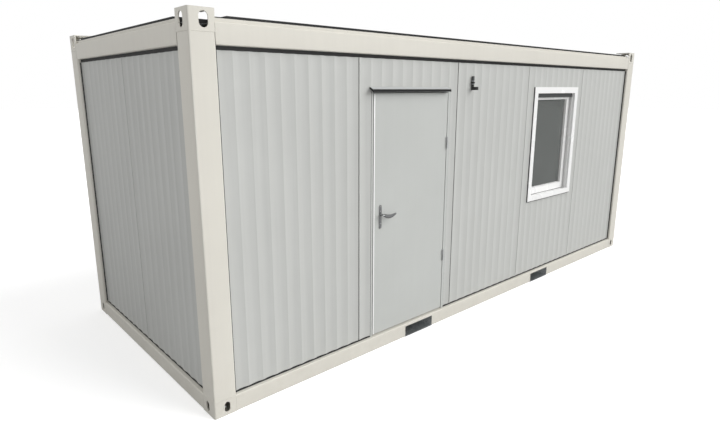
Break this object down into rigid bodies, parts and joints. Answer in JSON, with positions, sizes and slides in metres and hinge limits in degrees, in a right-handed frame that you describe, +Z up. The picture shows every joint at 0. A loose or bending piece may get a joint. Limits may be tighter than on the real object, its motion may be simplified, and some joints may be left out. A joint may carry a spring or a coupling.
{
  "type": "portable site cabin",
  "caption": "Steel-framed portable cabin with profiled sandwich walls, an outward opening door with lever handle, one window, pierced corner fittings and fork pockets.",
  "frame": {"origin": "under the middle of the cabin's overall box, at the level it stands on", "axes": "+X right along the front wall with the door and window, +Y from the front wall to the back wall, +Z up"},
  "size_m": [6.055, 2.475, 2.591],
  "materials": {
    "frame_paint": "semi-gloss warm white coating",
    "galvanised_sheet": "dull galvanised sheet",
    "floor_covering": "sheet floor covering",
    "ceiling_white": "coated board",
    "wall_paint": "satin light grey coating",
    "seal_rubber": "dark sealing strip",
    "door_paint": "satin light grey coating",
    "threshold_metal": "mill finish",
    "hinge_steel": "zinc plated",
    "handle_metal": "satin anodised",
    "black_trim": "black coating",
    "window_white": "white profile",
    "window_glass": "double glazing",
    "shutter_grey": "grey slat"
  },
  "bodies": {
    "cabin": {"post_front_left": "frame_paint", "post_front_right": "frame_paint", "post_back_left": "frame_paint", "post_back_right": "frame_paint", "top_corner_fittings": "frame_paint", "bottom_corner_fittings": "frame_paint", "floor_rail_front": "frame_paint", "floor_rail_back": "frame_paint", "floor_rail_ends": "frame_paint", "roof_rail_front": "frame_paint", "roof_rail_back": "frame_paint", "roof_rail_ends": "frame_paint", "fork_pockets": "galvanised_sheet", "floor_beams": "galvanised_sheet", "underside_sheet": "galvanised_sheet", "roof_beams": "galvanised_sheet", "roof_sheet": "galvanised_sheet", "floor_deck": "floor_covering", "ceiling": "ceiling_white", "wall_front_left": "wall_paint", "wall_door_left": "wall_paint", "wall_over_door": "wall_paint", "wall_door_right": "wall_paint", "wall_front_middle": "wall_paint", "wall_front_window": "wall_paint", "wall_front_right": "wall_paint", "wall_back": "wall_paint", "wall_left": "wall_paint", "wall_right": "wall_paint", "roof_edge_strip": "seal_rubber", "base_seals": "seal_rubber", "head_seals": "seal_rubber", "door_frame": "door_paint", "door_threshold": "threshold_metal", "door_hinges_frame": "hinge_steel", "drip_rail": "black_trim", "door_catch": "black_trim", "window_frame": "window_white", "window_sash": "window_white", "window_glass": "window_glass", "shutter_bar": "shutter_grey"},
    "door": {"door_leaf": "door_paint", "door_hinges_leaf": "hinge_steel", "lock_plates": "handle_metal"},
    "lever": {"lever_handle": "handle_metal"}
  },
  "joints": [
    {"name": "door_hinge", "type": "hinge", "parent": "cabin", "child": "door", "pos_m": [-0.701, -1.1805, 1.1], "axis": [0, 0, 1], "range_deg": [0, 170]},
    {"name": "lever_turn", "type": "hinge", "parent": "door", "child": "lever", "pos_m": [-1.5035, -1.1715, 1.158], "axis": [0, 1, 0], "range_deg": [0, 40], "stiffness_Nm_per_rad": 1.2, "springref_deg": -34.38}
  ]
}
